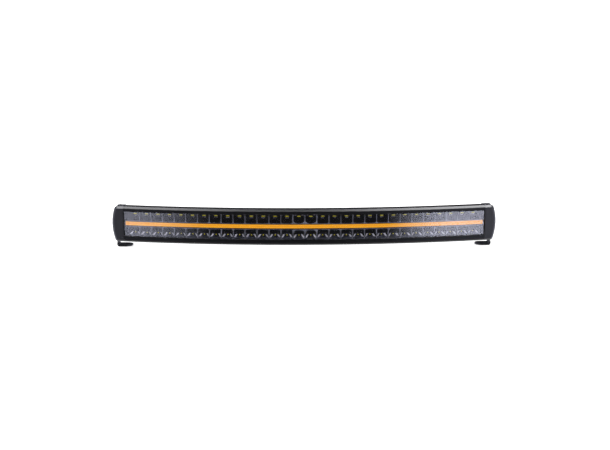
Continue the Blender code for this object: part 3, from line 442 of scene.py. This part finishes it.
def lower_painted_reflections(tree, across, up, is_round):
    """Painted reflections of a lower bowl: a wing each side of the LED, the top corners, and painted light on
    the foot.
    """
    # Painted reflections: bright wings beside the LED and at the top corners, and painted light on the bowl's
    # foot.
    slope = sum_up(tree, "MULTIPLY_ADD", up, WING_LEAN, WING_FOOT)
    wing = hill(tree, sum_up(tree, "SUBTRACT", across, slope), 0.0, WING_HALF, 0.060)
    wing = sum_up(tree, "MULTIPLY", wing, hill(tree, up, WING_LEVEL, 0.09, 0.09))
    if is_round:
        brow = sum_up(tree, "MULTIPLY", hill(tree, up, BROW_LEVEL, 0.03, 0.08), 0.3)
        wing = sum_up(tree, "MAXIMUM", wing, brow)
    patch = sum_up(tree, "ADD", across, sum_up(tree, "MULTIPLY", up, 0.10))
    patch = sum_up(tree, "MULTIPLY", smooth_step(tree, patch, 0.44, 0.58), 0.42)
    patch = sum_up(tree, "MULTIPLY", patch, smooth_step(tree, up, 0.35, 0.55))
    foot = sum_up(tree, "MULTIPLY", smooth_step(tree, up, FOOT_LEVEL, 0.10), 0.27)
    return sum_up(tree, "MAXIMUM", wing, sum_up(tree, "MAXIMUM", patch, foot))


def upper_painted_reflections(tree, across, up, uneven, is_round):
    """Painted highlights of an upper bowl: its side edges and a small spot, or two in a round bowl."""
    # Painted highlights on the bowl's side edges and a small spot.
    edge = sum_up(tree, "MULTIPLY", smooth_step(tree, across, 0.43, 0.49), 0.16)
    if is_round:
        spot = hill(tree, up, ROUND_SPOT_LEVEL, 0.04, 0.05)
        spot = sum_up(tree, "MULTIPLY", spot, hill(tree, across, ROUND_SPOT_ASIDE, 0.03, 0.07))
    else:
        spot = hill(tree, up, SPOT_LEVEL, 0.03, 0.06)
        spot = sum_up(tree, "MULTIPLY", spot, hill(tree, across, SPOT_ASIDE, 0.05, 0.05))
        broken = sum_up(tree, "MULTIPLY", smooth_step(tree, uneven, 0.30, 0.55), 0.90)
        spot = sum_up(tree, "MULTIPLY", spot, broken)
    return sum_up(tree, "MAXIMUM", edge, spot)


def chrome(name, lower, is_round):
    """Dark chrome on a moulding, with the bowl's painted reflections and highlights as a paler, rougher
    pattern.
    """
    made, tree, shader = start_material(name)
    cell = put(tree, "ShaderNodeUVMap", uv_map="cell")
    split = put(tree, "ShaderNodeSeparateXYZ", {"Vector": cell.outputs["UV"]})
    across = sum_up(tree, "ABSOLUTE", sum_up(tree, "SUBTRACT", split.outputs["X"], 0.5))
    up = split.outputs["Y"]
    uneven = speckle(tree, 0.005, 2.0)
    if lower:
        painted_reflection = lower_painted_reflections(tree, across, up, is_round)
    else:
        painted_reflection = upper_painted_reflections(tree, across, up, uneven, is_round)
    # Painted reflection: the mask turns the chrome from near black to pale where reflections are painted.
    painted_reflection_colour = put(tree, "ShaderNodeValToRGB", {"Fac": painted_reflection})
    painted_reflection_colour.color_ramp.elements[0].color = linear("#060608")
    painted_reflection_colour.color_ramp.elements[1].color = linear("#F6F4FF")
    painted_reflection_colour.color_ramp.elements.new(0.30).color = linear("#4E505E")
    tree.links.new(painted_reflection_colour.outputs["Color"], shader.inputs["Base Color"])
    tree.links.new(between(tree, painted_reflection, 0.25, 0.45), shader.inputs["Roughness"])
    tree.links.new(between(tree, painted_reflection, 0.70, 0.20), shader.inputs["Metallic"])
    shader.inputs["Specular IOR Level"].default_value = 0.25
    bumpy(tree, shader, uneven, 0.0002, 0.4)
    return made


def rib_material():
    """The trays' front ribs between the bowls: the same plating, paler in patches as a painted highlight."""
    made, tree, shader = start_material("pale_plated_rib")
    # Painted highlight: the paler patches stand for the light that the rib tops catch.
    painted_highlight_patches = speckle(tree, 0.004, 3.0)
    tree.links.new(two_colours(tree, painted_highlight_patches, "#26272D", "#9C9DAC"), shader.inputs["Base Color"])
    shader.inputs["Metallic"].default_value = 0.3
    tree.links.new(between(tree, painted_highlight_patches, 0.3, 0.5), shader.inputs["Roughness"])
    return made


def cell_ring(roundness):
    """Points round a cell as shares of its half width and height, with corners from square to round."""
    ring = []
    for corner in range(4):
        for k in range(5):
            angle = (corner + k / 4) * pi / 2
            point = (cos(angle), sin(angle))
            base = (1 if corner in (0, 3) else -1, 1 if corner in (0, 1) else -1)
            ring.append(tuple(b * (1 - roundness) + roundness * p for b, p in zip(base, point)))
    return ring


def sink_cell(bm, column, row, roundness):
    """One cell: from its edge to the bowl's rounded mouth, then in steps down to the LED's opening."""
    middle = (column + 0.5) * PITCH
    centre = row * (CELL_LOW + CELL_HIGH) / 2
    mouth = cell_ring(roundness)
    edge = [(u / max(abs(u), abs(v)), v / max(abs(u), abs(v))) for u, v in mouth]
    stages = [(0.0, edge, 0.0)]
    stages += [(step / BOWL_STEPS, mouth, RIB_HALF) for step in range(BOWL_STEPS + 1)]
    face = None
    for number, (t, ring, rib) in enumerate(stages):
        share = sqrt(1 - t**BOWL_CURVE)
        half_x = (PITCH / 2 - CELL_GAP - rib) * share + LED_OPENING * (1 - share)
        half_z = ((CELL_HIGH - CELL_LOW) / 2 - rib) * share + LED_OPENING * (1 - share)
        at_z = centre * share + row * ROW * (1 - share)
        depth = REFLECTOR_FRONT + t * (REFLECTOR_BACK - REFLECTOR_FRONT)
        places = [(middle + u * half_x, depth, at_z + v * half_z) for u, v in ring]
        if face is None:
            face = bm.faces.new([bm.verts.new(place) for place in places])
            continue
        face = bmesh.ops.extrude_discrete_faces(bm, faces=[face])["faces"][0]
        for v, place in zip(face.verts, places):
            v.co = place
        for wall in {f for edge in face.edges for f in edge.link_faces} - {face}:
            wall.material_index = 2 if number == 1 else (0 if row > 0 else 1)
    bmesh.ops.delete(bm, geom=[face], context="FACES_ONLY")


rib_plating = rib_material()
platings = {}
for is_round in (False, True):
    kind = "round" if is_round else "square"
    platings[is_round] = [
        chrome(f"dark_chrome_upper_{kind}_bowl", False, is_round),
        chrome(f"dark_chrome_lower_{kind}_bowl", True, is_round),
        rib_plating,
    ]
for module, (first, last) in enumerate(MODULES, 1):
    tray = bmesh.new()
    is_round = last - first == 2
    for row in (1, -1):
        for column in range(first, last):
            sink_cell(tray, column, row, CORNERS[is_round])
    bmesh.ops.remove_doubles(tray, verts=tray.verts, dist=MERGE_DISTANCE)
    rims = [e for e in tray.edges if e.is_boundary]
    inner = [e for e in rims if all(abs(abs(v.co.z) - CELL_LOW) < 1e-5 for v in e.verts)]
    raised = bmesh.ops.extrude_edge_only(tray, edges=inner)["geom"]
    for v in [v for v in raised if isinstance(v, bmesh.types.BMVert)]:
        v.co.y = MIDDLE_PLATE
    bmesh.ops.bridge_loops(tray, edges=[e for e in raised if isinstance(e, bmesh.types.BMEdge)])
    cell_map = tray.loops.layers.uv.new("cell")
    for face in tray.faces:
        column = face.calc_center_median().x // PITCH
        for loop in face.loops:
            share = (abs(loop.vert.co.z) - CELL_LOW) / (CELL_HIGH - CELL_LOW)
            up = share if loop.vert.co.z > 0 else 1 - share
            loop[cell_map].uv = (loop.vert.co.x / PITCH - column, up)
    bmesh.ops.recalc_face_normals(tray, faces=tray.faces)
    if sum(f.normal.y * f.calc_area() for f in tray.faces if f.material_index == 2) > 0:
        bmesh.ops.reverse_faces(tray, faces=tray.faces)
    plating = platings[is_round]
    node = f"reflector_{module}"
    piece = new_piece(f"reflector_tray_{module}", bend(tray), plating, "bar", [node])
    wall = piece.modifiers.new("wall", "SOLIDIFY")
    wall.thickness = TRAY_WALL
    wall.offset = -1.0

# ---------------------------------------------------------------------------------------------
# Position light. An amber acrylic strip with a fine groove along its face, pressed into a black
# nylon channel between the rows. A block at each end takes the light of a small LED.


def amber_material():
    """Amber acrylic, made opaque: satin, warm, darkened along the groove as painted shade, with a faint glow.
    """
    made, tree, shader = start_material("amber_acrylic")
    drift = speckle(tree, 0.012, 2.0, (0.3, 1, 1))
    base = two_colours(tree, drift, "#DC931A", "#E8A226")
    height = put(tree, "ShaderNodeSeparateXYZ", {"Vector": put(tree, "ShaderNodeTexCoord").outputs["Object"]})
    # Painted shade: the colour darkens along the groove's line at the strip's middle.
    painted_groove_shade = hill(tree, height.outputs["Z"], MIDDLE_Z, 0.0004, 0.0006)
    base = put(
        tree,
        "ShaderNodeMix",
        {0: sum_up(tree, "MULTIPLY", painted_groove_shade, 0.4), 6: base, 7: linear("#A8620C")},
        data_type="RGBA",
    ).outputs[2]
    tree.links.new(base, shader.inputs["Base Color"])
    shader.inputs["Roughness"].default_value = 0.30
    shader.inputs["Specular IOR Level"].default_value = 0.2
    shader.inputs["Emission Color"].default_value = linear("#F0A210")
    shader.inputs["Emission Strength"].default_value = 0.38
    return made


amber = amber_material()
GUIDE_HALF = 0.00435
GUIDE_FRONT = 0.009
GUIDE_BACK = 0.013
GUIDE_OUTER = WINDOW_ARC - 0.0025
GUIDE_INNER = GUIDE_OUTER - 0.005  # where the end block starts
GUIDE_GAP = 0.0003
GUIDE_TAPER = 0.00005  # of each side, towards the back
CROWN_DEPTH = 0.0002
CROWN_HALF = 0.0022  # from the strip's middle to the top of each half's crown
SHOULDER_DEPTH = 0.0012
LIGHT_GROOVE_DEPTH = 0.0008
BLOCK_EDGE = 0.0008
guide_outline = mirror_pairs(
    [
        (GUIDE_BACK, GUIDE_HALF - GUIDE_TAPER),
        (GUIDE_FRONT + SHOULDER_DEPTH, GUIDE_HALF),
        (GUIDE_FRONT + CROWN_DEPTH, 0.0038),
        (GUIDE_FRONT, CROWN_HALF),
        (GUIDE_FRONT + CROWN_DEPTH, 0.0008),
        (GUIDE_FRONT + LIGHT_GROOVE_DEPTH, 0.0003),
    ]
)
strip = swept(guide_outline, GUIDE_INNER - GUIDE_GAP, 60)
new_piece("light_guide_strip", strip, amber, "bar", ["light_guide"])
for side, sign in (("left", -1), ("right", 1)):
    bm = bmesh.new()
    middle = (sign * (GUIDE_INNER + GUIDE_OUTER) / 2, (GUIDE_FRONT + GUIDE_BACK) / 2, 0)
    size = (GUIDE_OUTER - GUIDE_INNER, GUIDE_BACK - GUIDE_FRONT, 2 * GUIDE_HALF, 1)
    bmesh.ops.create_cube(bm, matrix=Matrix.Translation(middle) @ Matrix.Diagonal(size))
    bmesh.ops.bevel(
        bm, geom=bm.edges, offset=BLOCK_EDGE, segments=3, profile=0.5, affect="EDGES", material=-1
    )
    new_piece(f"light_guide_block_{side}", bend(bm), amber, "bar", [f"light_guide_end_{side}"])
nylon = painted("black_moulded_nylon", "#0B0B0E", "#121217", 0.55, 0.0005, 0.00003, 0.25)
dress(nylon, "guide_carrier")

# ---------------------------------------------------------------------------------------------
# Lens and its seals. A clear polycarbonate plate, bent with the bar, lies on a flat silicone seal
# and is held by the rails. Two more seals close the housing's ends, and one is in the gland.


def clear_material():
    """Clear hard-coated polycarbonate: sharp, faint reflections and full transmission."""
    made, tree, shader = start_material("hard_coated_polycarbonate")
    ripple = speckle(tree, 0.05, 1.0)
    shader.inputs["Base Color"].default_value = linear("#FFFFFF")
    shader.inputs["Roughness"].default_value = 0.04
    shader.inputs["IOR"].default_value = 1.58
    shader.inputs["Transmission Weight"].default_value = 1.0
    bumpy(tree, shader, ripple, 0.00005, 0.12)
    path = put(tree, "ShaderNodeLightPath")
    clear = put(tree, "ShaderNodeBsdfTransparent", {"Color": linear("#F4F6FA")})
    both = put(tree, "ShaderNodeMixShader", {"Fac": path.outputs["Is Shadow Ray"]})
    tree.links.new(shader.outputs["BSDF"], both.inputs[1])
    tree.links.new(clear.outputs["BSDF"], both.inputs[2])
    tree.links.new(both.outputs["Shader"], tree.nodes["Material Output"].inputs["Surface"])
    return made


LENS_FRONT = 0.003
LENS_BACK = 0.006
LENS_HALF = 0.03405
LENS_END = WINDOW_ARC + 0.0035  # hidden in the end caps
lens_outline = [
    (LENS_BACK, LENS_HALF),
    (LENS_BACK, -LENS_HALF),
    (LENS_FRONT, -LENS_HALF),
    (LENS_FRONT, LENS_HALF),
]
new_piece("clear_lens", swept(lens_outline, LENS_END, 96), clear_material(), "bar", ["lens"])
silicone = painted("black_silicone_rubber", "#0C0C0C", "#141414", 0.80, 0.0012, 0.00005, 0.2)
dress(silicone, "lens_seal", "end_seal_left", "end_seal_right", "gland_seal")

# ---------------------------------------------------------------------------------------------
# Frame rails. Two extruded rails with a flat face and a bevelled outer edge snap over the housing
# and hold the lens. They are powder coated in satin black.

RAIL_INSIDE = 0.02825  # the window's half height
CHAMFER_HEIGHT = 0.0044
CHAMFER_DEPTH = 0.005
LIP_BACK = 0.0027
LENS_POCKET = 0.03435
WEB_BACK = 0.0083
SKIRT_INSIDE = 0.03805
SKIRT_BACK = 0.021
BEAD_INSIDE = 0.03745
BEAD_FRONT = 0.0194
RAIL_EDGE = 0.0006
RAIL_GAP = 0.0003  # from the end caps


def rail_outline(outside):
    """Lip, flat face, bevel, skirt and snap bead of a rail, out to its outer surface."""
    return [
        (0, RAIL_INSIDE),
        (0, outside - CHAMFER_HEIGHT),
        (CHAMFER_DEPTH, outside),
        (SKIRT_BACK, outside),
        (SKIRT_BACK, BEAD_INSIDE),
        (BEAD_FRONT, BEAD_INSIDE),
        (BEAD_FRONT, SKIRT_INSIDE),
        (WEB_BACK, SKIRT_INSIDE),
        (WEB_BACK, LENS_POCKET),
        (LIP_BACK, LENS_POCKET),
        (LIP_BACK, RAIL_INSIDE),
    ]


powder = painted("satin_black_powder_coat", "#070708", "#0B0B0D", 0.30, 0.0009, 0.00004, 0.17)
rail_outside = {"top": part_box("frame_rail_top")[1].z, "bottom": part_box("frame_rail_bottom")[0].z}
for name, sign in (("top", 1), ("bottom", -1)):
    outside = abs(rail_outside[name] - MIDDLE_Z)
    outline = rounded([(d, sign * z) for d, z in rail_outline(outside)], RAIL_EDGE)
    bm = swept(outline, WINDOW_ARC - RAIL_GAP, 96)
    new_piece(f"powder_coated_rail_{name}", bm, powder, "bar", [f"frame_rail_{name}"])

# ---------------------------------------------------------------------------------------------
# End caps. Castings that carry the frame's face and bevel round the ends of the bar, with a bulged
# side, and that hold the pivots. Painted in a slightly greyer satin black.


def softened(name, node, look, body, width, segments=2):
    """A copy of a CAD node with its flat faces made whole and its edges rounded, to stand for it."""
    bm = bmesh.new()
    bm.from_mesh(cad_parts[node].data)
    bmesh.ops.remove_doubles(bm, verts=bm.verts, dist=1e-6)
    bmesh.ops.dissolve_limit(bm, angle_limit=radians(1.5), verts=bm.verts, edges=bm.edges)
    for face in bm.faces:
        face.material_index = 0
    piece = new_piece(name, bm, look, body, [node], sharp=30)
    edge = piece.modifiers.new("soft_edges", "BEVEL")
    edge.width = width
    edge.segments = segments
    edge.limit_method = "ANGLE"
    edge.angle_limit = radians(30)
    edge.use_clamp_overlap = True
    edge.harden_normals = True
    return piece


CAP_EDGE = 0.0004
cap_paint = painted("satin_black_cast_cap", "#151518", "#1B1B1F", 0.38, 0.0011, 0.00006, 0.28)
for side in ("left", "right"):
    softened(f"painted_end_cap_{side}", f"end_cap_{side}", cap_paint, "bar", CAP_EDGE)

# ---------------------------------------------------------------------------------------------
# Cap screws, pivot bolts and washers. Turned and cold-headed steel in black zinc plating, dark with
# a faint, cloudy sheen. They keep the CAD's shapes, with their edges rounded.


def zinc_material():
    """Black zinc on steel: a dark metal with a cloudy, slightly oily sheen."""
    made, tree, shader = start_material("black_zinc_steel")
    cloud = speckle(tree, 0.003, 3.0)
    tree.links.new(two_colours(tree, cloud, "#2A2A2D", "#46464B"), shader.inputs["Base Color"])
    tree.links.new(between(tree, cloud, 0.28, 0.45), shader.inputs["Roughness"])
    shader.inputs["Metallic"].default_value = 1.0
    bumpy(tree, shader, cloud, 0.00003)
    return made


SCREW_EDGE = 0.0002
PIVOT_EDGE = 0.00025
zinc = zinc_material()
for side in ("left", "right"):
    for place in ("front_top", "front_bottom", "rear_top", "rear_bottom"):
        node = f"cap_screw_{place}_{side}"
        softened(f"zinc_{node}", node, zinc, "bar", SCREW_EDGE)
    for kind in ("pivot_bolt", "pivot_washer", "spring_washer"):
        node = f"{kind}_{side}"
        softened(f"zinc_{node}", node, zinc, "bar", PIVOT_EDGE)

# ---------------------------------------------------------------------------------------------
# Cable gland and vent plug, in moulded black nylon. The gland screws into the flat at the middle of
# the back, and the vent plug into the smaller flat beside it.

NYLON_EDGE = 0.0004
for node in ("gland_body", "gland_nut", "vent_plug"):
    softened(f"nylon_{node}", node, nylon, "bar", NYLON_EDGE)

# ---------------------------------------------------------------------------------------------
# Brackets. Bent steel straps with a slotted foot under the bar and an eye round the pivot bolt,
# powder coated in black.

BRACKET_EDGE = 0.0005
bracket_coat = painted("black_bracket_coat", "#101012", "#18181B", 0.30, 0.0010, 0.00005, 0.45)
for side in ("left", "right"):
    body = f"{side}_bracket"
    softened(f"coated_bracket_{side}", f"bracket_{side}", bracket_coat, body, BRACKET_EDGE, 3)

# ---------------------------------------------------------------------------------------------
# Floor, lights and camera. A pale floor in a white room, lit from above the front. Mirrored rays and
# rays through the lens see no floor, and see a dark room with soft boxes instead of the white one.
# Rays that haven't been through the lens see the boxes beside the bar dimmed.

FLOOR_HALF = 40.0
FLOOR_DROP = 0.0002  # under the feet
floor = bmesh.new()
under = Matrix.Translation((0, 0, -FLOOR_DROP))
bmesh.ops.create_grid(floor, x_segments=1, y_segments=1, size=FLOOR_HALF, matrix=under)
floor_look, floor_tree, floor_shader = start_material("pale_floor")
soft = speckle(floor_tree, 1.5, 1.0)
floor_tree.links.new(two_colours(floor_tree, soft, "#F6F6F6", "#F9F9F9"), floor_shader.inputs["Base Color"])
floor_shader.inputs["Roughness"].default_value = 0.9
floor_shader.inputs["Specular IOR Level"].default_value = 0.0
floor_shader.inputs["Emission Color"].default_value = linear("#FFFFFF")
floor_shader.inputs["Emission Strength"].default_value = 0.75
floor_piece = new_piece("pale_floor", floor, floor_look, None, None)
floor_piece.visible_glossy = False
floor_piece.visible_transmission = False

OFF_THE_LENS = 0.40  # how bright the soft boxes beside the bar look in the front of the lens and frame
DARK_ROOM = 0.07  # what the bar mirrors between the soft boxes
world = bpy.data.worlds.new("studio")
bpy.context.scene.world = world
world.use_nodes = True
world.cycles.sampling_method = "NONE"
sky = world.node_tree
room = sky.nodes["Background"]
room.inputs["Color"].default_value = (1.0, 1.0, 1.0, 1.0)
room.inputs["Strength"].default_value = 1.0
toward = put(sky, "ShaderNodeTexCoord").outputs["Generated"]
axes = put(sky, "ShaderNodeSeparateXYZ", {"Vector": toward}).outputs
bearing = sum_up(sky, "ARCTAN2", axes["X"], sum_up(sky, "MULTIPLY", axes["Y"], -1.0))
ray = put(sky, "ShaderNodeLightPath")
through = sum_up(sky, "GREATER_THAN", ray.outputs["Transmission Depth"], 0.5)
front_share = sum_up(sky, "ADD", sum_up(sky, "MULTIPLY", through, 1.0 - OFF_THE_LENS), OFF_THE_LENS)


def panel(start, full, last, gone, strength):
    """A soft box that stands round the bar between two bearings in degrees, with soft edges."""
    rise = smooth_step(sky, bearing, radians(start), radians(full))
    fall = smooth_step(sky, bearing, radians(gone), radians(last))
    level = hill(sky, axes["Z"], -0.15, 0.35, 0.25)
    shape = sum_up(sky, "MULTIPLY", sum_up(sky, "MULTIPLY", rise, fall), level)
    return sum_up(sky, "MULTIPLY", sum_up(sky, "MULTIPLY", shape, strength), front_share)


def overhead(start, full, strength):
    """A soft box above one end of the bar."""
    high = smooth_step(sky, axes["Z"], 0.75, 0.9)
    shape = sum_up(sky, "MULTIPLY", smooth_step(sky, axes["X"], start, full), high)
    return sum_up(sky, "MULTIPLY", shape, strength)


white_floor = sum_up(sky, "MULTIPLY", smooth_step(sky, axes["Z"], -0.45, -0.80), 1.3)
PANELS = (  # degrees from the front where a box starts, is full, starts to fade and ends; its strength
    (15.5, 28, 75, 90, 4.9),
    (-15.5, -32, -75, -90, 2.7),
    (95, 115, 150, 160, 5.0),
    (-95, -115, -150, -160, 5.0),
)
seen = DARK_ROOM
for sizes in PANELS:
    seen = sum_up(sky, "ADD", panel(*sizes), seen)
sides = put(sky, "ShaderNodeBackground", {"Color": (0.80, 0.82, 1.0, 1.0), "Strength": seen})
above = sum_up(sky, "ADD", overhead(0.09, 0.28, 34.0), overhead(-0.09, -0.28, 21.0))
ends = {"Color": (0.97, 0.97, 1.0, 1.0), "Strength": sum_up(sky, "ADD", above, white_floor)}
ends = put(sky, "ShaderNodeBackground", ends)
boxes = put(sky, "ShaderNodeAddShader")
sky.links.new(sides.outputs["Background"], boxes.inputs[0])
sky.links.new(ends.outputs["Background"], boxes.inputs[1])
mirrored = sum_up(sky, "MAXIMUM", ray.outputs["Is Glossy Ray"], ray.outputs["Is Transmission Ray"])
mirrored = sum_up(sky, "MULTIPLY", mirrored, sum_up(sky, "LESS_THAN", ray.outputs["Diffuse Depth"], 0.5))
mixed = put(sky, "ShaderNodeMixShader", {"Fac": mirrored})
sky.links.new(room.outputs["Background"], mixed.inputs[1])
sky.links.new(boxes.outputs["Shader"], mixed.inputs[2])
sky.links.new(mixed.outputs["Shader"], sky.nodes["World Output"].inputs["Surface"])

lamp = bpy.data.lights.new("front_soft_box", "AREA")
lamp.shape = "RECTANGLE"
lamp.size = 2.4
lamp.size_y = 0.8
lamp.energy = 22
soft_box = bpy.data.objects.new("front_soft_box", lamp)
soft_box.location = (0, -1.6, 2.2)
toward_bar = Vector((0, 0, MIDDLE_Z)) - soft_box.location
soft_box.rotation_euler = toward_bar.to_track_quat("-Z", "Y").to_euler()
soft_box.visible_glossy = False
bpy.context.scene.collection.objects.link(soft_box)

DISTANCE = 2.5  # from the middle of the bar's front face
ELEVATION = 12.1
AZIMUTH = -1.03
AIM_LIFT = 0.0054
AIM = Vector((0.0, FRONT_Y, MIDDLE_Z + AIM_LIFT))
camera = bpy.data.objects.new("camera", bpy.data.cameras.new("camera"))
camera.data.lens = 66.1
camera.data.sensor_width = 36.0
outward = Vector((0, -cos(radians(ELEVATION)), sin(radians(ELEVATION))))
outward.rotate(Matrix.Rotation(radians(AZIMUTH), 3, "Z"))
camera.location = AIM + outward * DISTANCE
camera.rotation_euler = (-outward).to_track_quat("-Z", "Y").to_euler()
bpy.context.scene.collection.objects.link(camera)
bpy.context.scene.camera = camera
bpy.context.scene.view_settings.view_transform = "Standard"
